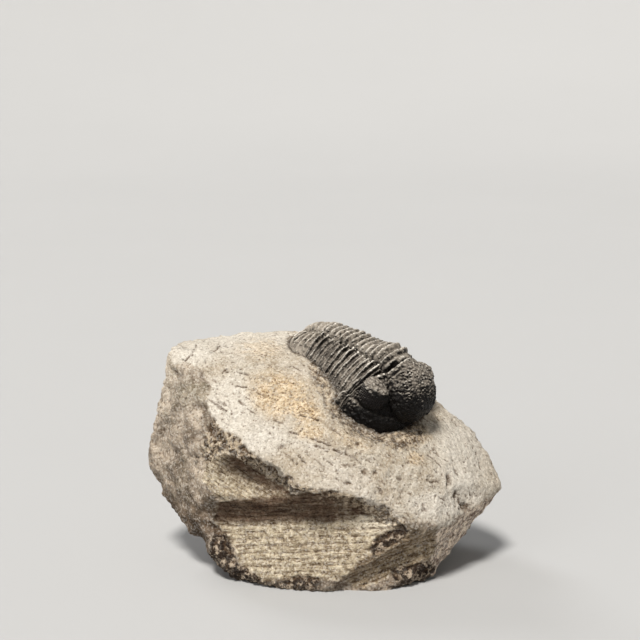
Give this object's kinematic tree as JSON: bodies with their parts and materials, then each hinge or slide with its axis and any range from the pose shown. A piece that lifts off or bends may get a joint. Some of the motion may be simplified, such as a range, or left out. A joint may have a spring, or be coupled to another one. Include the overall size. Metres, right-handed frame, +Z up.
{
  "type": "trilobite fossil",
  "caption": "Trilobite fossil lying head down on the slope of a rough block of its pale limestone, with scooped front faces and a flat sawn foot to stand on.",
  "frame": {"origin": "middle of the bounding box in X and Y, on the plane of the sawn foot", "axes": "+X to the right along the block's longest side, towards the fossil's head end; +Y to the back; +Z up"},
  "size_m": [0.096, 0.0632, 0.0644],
  "materials": {
    "limestone": "rough broken limestone, pale grey to cream, with brown weathered crust at its edges",
    "fossil_shell": "dark grey to black calcite, satin, with pale wear on the crests of its rings"
  },
  "bodies": {
    "root": {"matrix": "limestone", "trilobite": "fossil_shell"}
  },
  "joints": []
}
